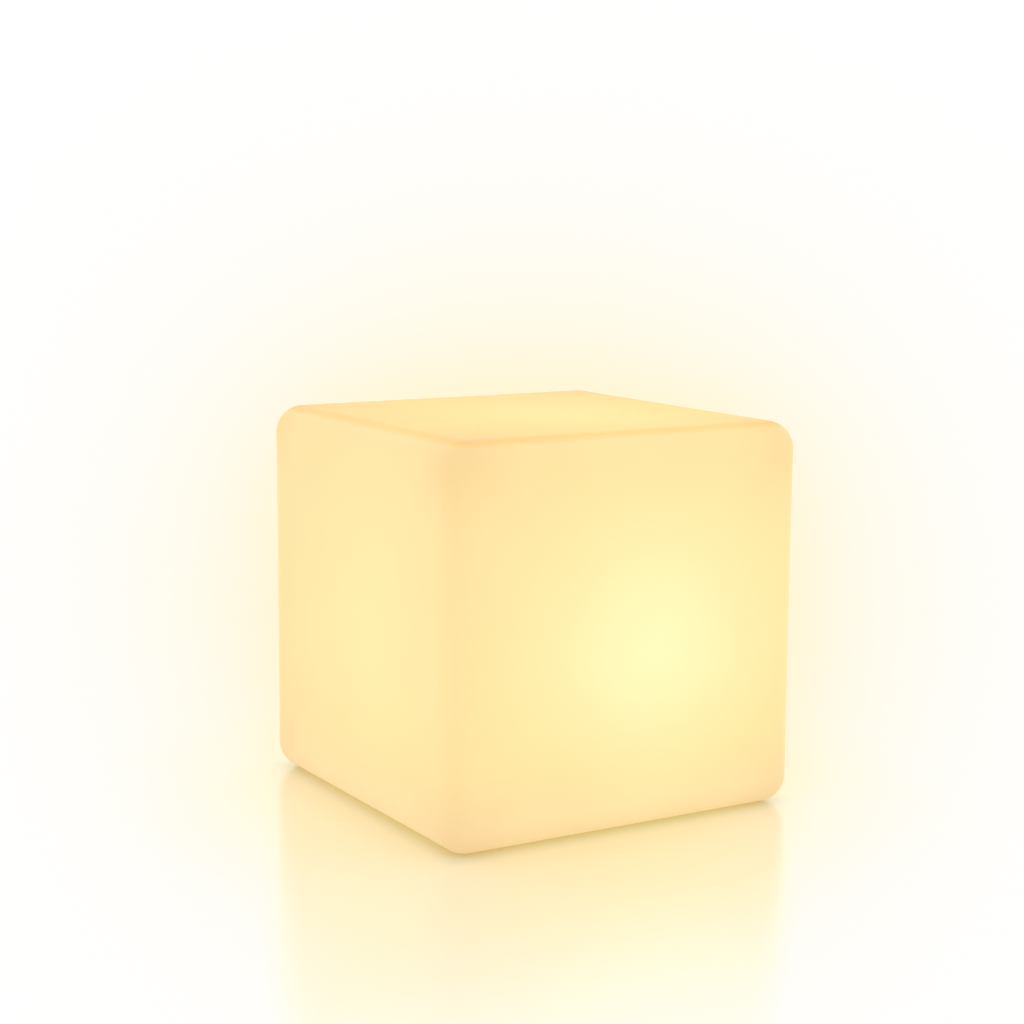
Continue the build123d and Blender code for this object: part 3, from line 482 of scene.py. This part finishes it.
def lead_material(node):
    """Extruded insulation. The leads of one run differ in colour."""
    paint = moulded("lead_insulation_" + node, LEAD_RED, 0.4, grain=0.4 * MM, depth=0.004 * MM)
    low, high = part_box(node)
    if node == "led_leads":
        share = paint.math("DIVIDE", paint.math("SUBTRACT", paint.x, low.x), high.x - low.x)
        stops = [(i / len(LED_LEAD_COLOURS), colour) for i, colour in enumerate(LED_LEAD_COLOURS)]
        paint.dress(Base_Color=paint.ramp(share, stops, "CONSTANT"))
        return paint.material
    if node == "socket_leads":
        above = paint.math("GREATER_THAN", paint.z, high.z - SOCKET_BLACK_TOP)
        beside = paint.math("GREATER_THAN", paint.y, low.y + SOCKET_RED_SIDE)
        beyond = paint.math("GREATER_THAN", paint.x, high.x - SOCKET_BLACK_END)
        black = paint.math("MAXIMUM", paint.math("MAXIMUM", above, beside), beyond)
    else:
        plug_low, plug_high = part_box("battery_plug")
        black = paint.math("LESS_THAN", paint.x, (plug_low.x + plug_high.x) / 2)
    paint.dress(Base_Color=paint.mix(black, LEAD_RED, LEAD_BLACK))
    return paint.material


# ------------------------------------------------------------------ plain plastics, rubbers and metals
def abs_material(node):
    return moulded("white_abs", (0.74, 0.74, 0.71), 0.46, grain=0.45 * MM, depth=0.02 * MM,
                   tint=0.012).material


def button_material(node):
    return moulded("grey_button", (0.50, 0.52, 0.54), 0.38, grain=0.6 * MM).material


def silicone_material(node):
    return moulded("white_silicone", (0.66, 0.66, 0.64), 0.62, grain=0.3 * MM, depth=0.006 * MM,
                   tint=0.02).material


def seal_material(node):
    return moulded("grey_seal", (0.22, 0.23, 0.24), 0.7, grain=0.25 * MM, depth=0.01 * MM, tint=0.1).material


def black_nylon_material(node):
    return moulded("black_nylon", (0.022, 0.022, 0.023), 0.42, grain=0.4 * MM).material


def white_nylon_material(node):
    return moulded("white_nylon", (0.86, 0.84, 0.76), 0.5, grain=0.4 * MM).material


def acrylic_material(node):
    paint = moulded("clear_acrylic", (0.90, 0.93, 0.95), 0.12, grain=0.8 * MM, depth=0.003 * MM, tint=0.01)
    paint.dress(Transmission_Weight=0.85, IOR=1.49)
    return paint.material


def screw_material(node):
    return drawn_metal("zinc_screw", (0.72, 0.73, 0.75), 0.30, (1.0, 1.0, 0.3)).material


def spring_material(node):
    return drawn_metal("spring_steel", (0.60, 0.61, 0.63), 0.26, (1.0, 1.0, 0.3), grain=0.12 * MM).material


def nickel_material(node):
    return drawn_metal("nickel_contact", (0.78, 0.74, 0.66), 0.24, (0.2, 1.0, 1.0)).material


def spreader_material(node):
    return drawn_metal("spreader_aluminium", (0.80, 0.81, 0.82), 0.34, (0.08, 1.0, 1.0)).material


# ------------------------------------------------------------------ the CAD nodes
MATERIALS = {               # the function for each slot, which is given the node that it is for
    "milky_polyethylene": shell_material,
    "frosted_polycarbonate": dome_material,
    "white_abs": abs_material,
    "grey_button": button_material,
    "white_silicone": silicone_material,
    "grey_seal": seal_material,
    "zinc_screw": screw_material,
    "spring_steel": spring_material,
    "black_nylon": black_nylon_material,
    "nickel_contact": nickel_material,
    "green_board": green_board_material,
    "white_board": white_board_material,
    "chip_epoxy": chip_material,
    "ferrite": ferrite_material,
    "capacitor_can": capacitor_material,
    "led_package": led_material,
    "clear_acrylic": acrylic_material,
    "white_nylon": white_nylon_material,
    "lead_insulation": lead_material,
    "cell_sleeve": cell_material,
    "spreader_aluminium": spreader_material,
}
MADE_FOR_EACH_NODE = ("led_package", "lead_insulation")


def dress_nodes():
    """Gives each CAD node the detailed material of its slot in the record."""
    made = {}
    for subpart in frame["record"]["subparts"]:
        node, slot = subpart["node"], subpart["material_slot"]
        key = (slot, node) if slot in MADE_FOR_EACH_NODE else slot
        if key not in made:
            made[key] = MATERIALS[slot](node)
        mesh = nodes[node].data
        mesh.materials.clear()
        mesh.materials.append(made[key])


# ------------------------------------------------------------------ the button's spring
def add_coil():
    """The button's spring: a copy of the CAD spring's mesh that rides with the lamp's body in place of the
    CAD spring.
    """
    coil = bpy.data.objects.new("button_coil", nodes["button_spring"].data.copy())
    bpy.context.scene.collection.objects.link(coil)
    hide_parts("button_spring")
    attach(coil, "lamp")
    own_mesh(coil)


# ------------------------------------------------------------------ stage
STUDIO_LIGHT = 1.15         # white on every side, a little over full white
FLOOR_DROP = 0.0002         # the floor lies this far under the cube
FLOOR_REACH = 60.0
FOOT_INSET = 0.014          # the cube's flat foot ends this far inside its sides
FLOOR_FADE = 0.50           # distance from the foot over which the floor's painted shadow and painted lamp light run
FLOOR_PAINTED_SHADOW_AND_LAMP_LIGHT = [           # its colour as painted light and shade: a painted contact shadow at the foot, then the lamp's painted warm light fading to near white, as shares of that distance
    # the first two stops are a painted contact shadow, the later ones painted warm lamp light
    (0.00, (0.74, 0.90, 0.94)),
    (0.02, (0.82, 0.91, 0.90)),
    (0.04, (0.98, 0.96, 0.92)),
    (0.13, (0.98, 0.95, 0.90)),
    (0.40, (0.98, 0.95, 0.96)),
    (1.00, (0.98, 0.98, 0.97)),
]
MIRROR_COLOUR = (1.0, 0.94, 0.90)
MIRROR_ROUGHNESS = 0.22
MIRROR_SHARES = [           # share of mirror reflection, over the same distance
    (0.02, 0.33),
    (0.18, 0.44),
    (0.26, 0.42),
    (0.44, 0.28),
]


def floor_material():
    """A pale floor in the lamp's light, which mirrors most a hand's width away from the cube. Its diffuse
    colour holds a painted contact shadow at the cube's foot and the lamp's painted warm light round it.
    """
    paint = Paint("studio_floor")
    side = paint.math("MAXIMUM", paint.math("ABSOLUTE", paint.x), paint.math("ABSOLUTE", paint.y))
    away = paint.math("SUBTRACT", side, cube_width / 2 - FOOT_INSET)
    reach = paint.math("DIVIDE", away, FLOOR_FADE)
    # the diffuse colour carries the painted contact shadow and the painted lamp light
    matt = paint.add("ShaderNodeBsdfDiffuse", Color=paint.ramp(reach, FLOOR_PAINTED_SHADOW_AND_LAMP_LIGHT))
    mirror = paint.add("ShaderNodeBsdfGlossy", Color=MIRROR_COLOUR, Roughness=MIRROR_ROUGHNESS)
    share = paint.ramp(reach, [(place, (amount,) * 3) for place, amount in MIRROR_SHARES])
    both = paint.add("ShaderNodeMixShader", Fac=share)
    paint.set(both, 1, matt.outputs["BSDF"])
    paint.set(both, 2, mirror.outputs["BSDF"])
    paint.set(paint.tree.nodes["Material Output"], "Surface", both.outputs["Shader"])
    return paint.material


def add_floor():
    r = FLOOR_REACH
    corners = [(x, y, -FLOOR_DROP) for x, y in ((-r, -r), (r, -r), (r, r), (-r, r))]
    mesh = bpy.data.meshes.new("floor")
    mesh.from_pydata(corners, [], [(0, 1, 2, 3)])
    floor = bpy.data.objects.new("floor", mesh)
    bpy.context.scene.collection.objects.link(floor)
    mesh.materials.append(floor_material())
    floor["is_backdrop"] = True


def add_world():
    world = bpy.data.worlds.new("studio")
    bpy.context.scene.world = world
    world.use_nodes = True
    sky = world.node_tree.nodes["Background"]
    sky.inputs["Color"].default_value = (*WHITE, 1.0)
    sky.inputs["Strength"].default_value = STUDIO_LIGHT


# ------------------------------------------------------------------ halo of the lamp's light
LAMP_INDEX = 1              # marks the lamp's own pieces in the index pass
HALO_BLURS = ((0.52, 1.0), (0.16, 0.25))    # reach of each blur in picture widths, and its strength
HALO_TINT = (1.0, 0.86, 0.36)


def add_halo():
    """Tints the ground round the lamp, most beside it and fading outwards, and leaves the lamp itself."""
    scene = bpy.context.scene
    scene.view_layers[0].use_pass_object_index = True
    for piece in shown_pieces():
        piece.pass_index = LAMP_INDEX
    scene.use_nodes = True
    tree = scene.node_tree
    tree.nodes.clear()

    def add(kind, **settings):
        node = tree.nodes.new(kind)
        for name, value in settings.items():
            setattr(node, name, value)
        return node

    def math_node(operation, a, b):
        node = add("CompositorNodeMath", operation=operation)
        for socket, value in zip(node.inputs, (a, b)):
            if isinstance(value, bpy.types.NodeSocket):
                tree.links.new(value, socket)
            else:
                socket.default_value = value
        return node.outputs[0]

    def multiply(share, picture, colour, clamp=False):
        """The picture times a colour, as far as the share says, or all of it where that is None."""
        node = add("CompositorNodeMixRGB", blend_type="MULTIPLY", use_clamp=clamp)
        if share is not None:
            tree.links.new(share, node.inputs["Fac"])
        tree.links.new(picture, node.inputs[1])
        node.inputs[2].default_value = (*colour, 1.0)
        return node.outputs["Image"]

    layers = add("CompositorNodeRLayers")
    picture = layers.outputs["Image"]
    index_pass = next(socket for socket in layers.outputs if socket.identifier == "IndexOB")
    mask = add("CompositorNodeIDMask", index=LAMP_INDEX, use_antialiasing=True)
    tree.links.new(index_pass, mask.inputs["ID value"])
    lamp = mask.outputs["Alpha"]
    spread_light = 0.0
    for spread, strength in HALO_BLURS:
        reach = add("CompositorNodeRelativeToPixel", data_type="FLOAT", reference_dimension="X")
        reach.inputs[1].default_value = spread
        tree.links.new(picture, reach.inputs["Image"])
        blur = add("CompositorNodeBlur", filter_type="GAUSS")
        tree.links.new(lamp, blur.inputs["Image"])
        tree.links.new(reach.outputs[0], blur.inputs["Size"])
        spread_light = math_node("ADD", math_node("MULTIPLY", blur.outputs["Image"], strength), spread_light)
    amount = math_node("MULTIPLY", spread_light, math_node("SUBTRACT", 1.0, lamp))
    ground = multiply(None, picture, WHITE, clamp=True)     # what is brighter than white becomes white
    halo = multiply(amount, ground, HALO_TINT)
    tree.links.new(halo, add("CompositorNodeComposite").inputs["Image"])


# ------------------------------------------------------------------ everything
add_camera()
add_world()
add_floor()
dress_nodes()
add_coil()
add_halo()
bpy.context.scene.view_settings.view_transform = "Standard"
